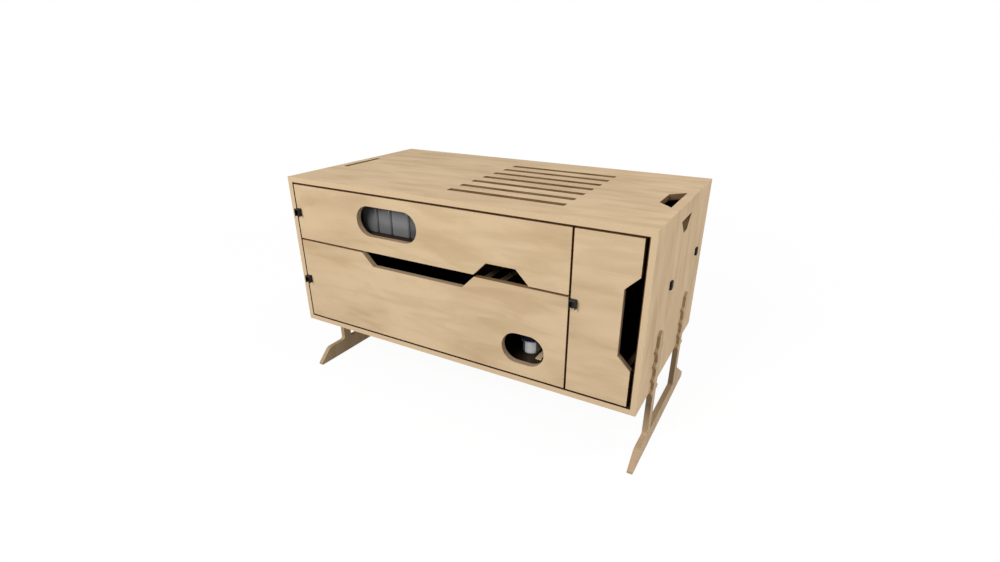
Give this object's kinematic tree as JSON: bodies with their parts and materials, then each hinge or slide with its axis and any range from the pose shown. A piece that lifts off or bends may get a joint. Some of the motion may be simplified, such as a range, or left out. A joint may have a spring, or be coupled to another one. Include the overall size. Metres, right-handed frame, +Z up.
{
  "type": "chuck box",
  "caption": "Plywood kitchen chest with sliding drawers, finger notches, stadium windows and quarter-turn latches, standing on removable toothed leg frames.",
  "frame": {"origin": "on the floor, below the middle of the box's bounding block", "axes": "+X along the box to its right end, +Y from the drawer fronts to the back, +Z up"},
  "size_m": [0.812, 0.437, 0.475],
  "materials": {
    "case_plywood": "satin oiled birch plywood",
    "leg_plywood": "satin oiled birch plywood",
    "drawer_plywood": "dark brown film-faced birch plywood",
    "dowel_beech": "plain sanded beech",
    "black_plastic": "matt moulded",
    "slide_steel": "zinc plated, rolled",
    "zinc_steel": "zinc plated",
    "magnet_nickel": "nickel plated",
    "bush_brass": "turned",
    "canister_plastic": "satin dark grey",
    "cup_enamel": "glossy enamel"
  },
  "bodies": {
    "case": {"back_panel": "case_plywood", "bottom_panel": "case_plywood", "case_dowels": "dowel_beech", "case_magnets": "magnet_nickel", "corner_splines": "dowel_beech", "divider": "case_plywood", "left_side": "case_plywood", "lower_slide_case_members": "slide_steel", "right_side": "case_plywood", "right_slide_case_members": "slide_steel", "side_studs": "black_plastic", "slide_case_screws": "zinc_steel", "top_panel": "case_plywood", "upper_slide_case_members": "slide_steel"},
    "upper_drawer": {"canisters": "canister_plastic", "upper_box_back": "drawer_plywood", "upper_box_left": "drawer_plywood", "upper_box_right": "drawer_plywood", "upper_dowels": "dowel_beech", "upper_floor": "drawer_plywood", "upper_front": "case_plywood", "upper_latch_bush": "bush_brass", "upper_slide_drawer_members": "slide_steel", "upper_slide_screws": "zinc_steel"},
    "upper_cages": {"upper_slide_cages": "slide_steel"},
    "upper_latch": {"upper_latch_knob": "black_plastic", "upper_latch_cam": "zinc_steel"},
    "lower_drawer": {"cup": "cup_enamel", "lower_box_back": "drawer_plywood", "lower_box_left": "drawer_plywood", "lower_box_partitions": "drawer_plywood", "lower_box_right": "drawer_plywood", "lower_dowels": "dowel_beech", "lower_floor": "drawer_plywood", "lower_front": "case_plywood", "lower_latch_bush": "bush_brass", "lower_slide_drawer_members": "slide_steel", "lower_slide_screws": "zinc_steel"},
    "lower_cages": {"lower_slide_cages": "slide_steel"},
    "lower_latch": {"lower_latch_knob": "black_plastic", "lower_latch_cam": "zinc_steel"},
    "right_drawer": {"right_box_back": "drawer_plywood", "right_box_left": "drawer_plywood", "right_box_right": "drawer_plywood", "right_dowels": "dowel_beech", "right_floor": "drawer_plywood", "right_front": "case_plywood", "right_latch_bush": "bush_brass", "right_slide_drawer_members": "slide_steel", "right_slide_screws": "zinc_steel"},
    "right_cages": {"right_slide_cages": "slide_steel"},
    "right_latch": {"right_latch_knob": "black_plastic", "right_latch_cam": "zinc_steel"},
    "left_leg": {"left_leg": "leg_plywood", "left_leg_magnets": "magnet_nickel"},
    "right_leg": {"right_leg": "leg_plywood", "right_leg_magnets": "magnet_nickel"}
  },
  "joints": [
    {"name": "upper_drawer_slide", "type": "slide", "parent": "case", "child": "upper_drawer", "axis": [0, -1, 0], "range_m": [0, 0.27]},
    {"name": "upper_cage_roll", "type": "slide", "parent": "case", "child": "upper_cages", "axis": [0, -1, 0], "range_m": [0, 0.135]},
    {"name": "upper_latch_turn", "type": "hinge", "parent": "upper_drawer", "child": "upper_latch", "pos_m": [-0.3787, -0.2085, 0.40005], "axis": [0, 1, 0], "range_deg": [0, 90]},
    {"name": "lower_drawer_slide", "type": "slide", "parent": "case", "child": "lower_drawer", "axis": [0, -1, 0], "range_m": [0, 0.27]},
    {"name": "lower_cage_roll", "type": "slide", "parent": "case", "child": "lower_cages", "axis": [0, -1, 0], "range_m": [0, 0.135]},
    {"name": "lower_latch_turn", "type": "hinge", "parent": "lower_drawer", "child": "lower_latch", "pos_m": [-0.3787, -0.2085, 0.24345], "axis": [0, 1, 0], "range_deg": [0, 90]},
    {"name": "right_drawer_slide", "type": "slide", "parent": "case", "child": "right_drawer", "axis": [0, -1, 0], "range_m": [0, 0.27]},
    {"name": "right_cage_roll", "type": "slide", "parent": "case", "child": "right_cages", "axis": [0, -1, 0], "range_m": [0, 0.135]},
    {"name": "right_latch_turn", "type": "hinge", "parent": "right_drawer", "child": "right_latch", "pos_m": [0.2721, -0.2085, 0.327], "axis": [0, 1, 0], "range_deg": [0, 90]},
    {"name": "left_leg_pull", "type": "slide", "parent": "case", "child": "left_leg", "axis": [-1, 0, 0], "range_m": [0, 0.03]},
    {"name": "right_leg_pull", "type": "slide", "parent": "case", "child": "right_leg", "axis": [1, 0, 0], "range_m": [0, 0.03]}
  ],
  "couplings": [
    {"joint": "upper_cage_roll", "follows": "upper_drawer_slide", "ratio": 0.5},
    {"joint": "lower_cage_roll", "follows": "lower_drawer_slide", "ratio": 0.5},
    {"joint": "right_cage_roll", "follows": "right_drawer_slide", "ratio": 0.5}
  ]
}
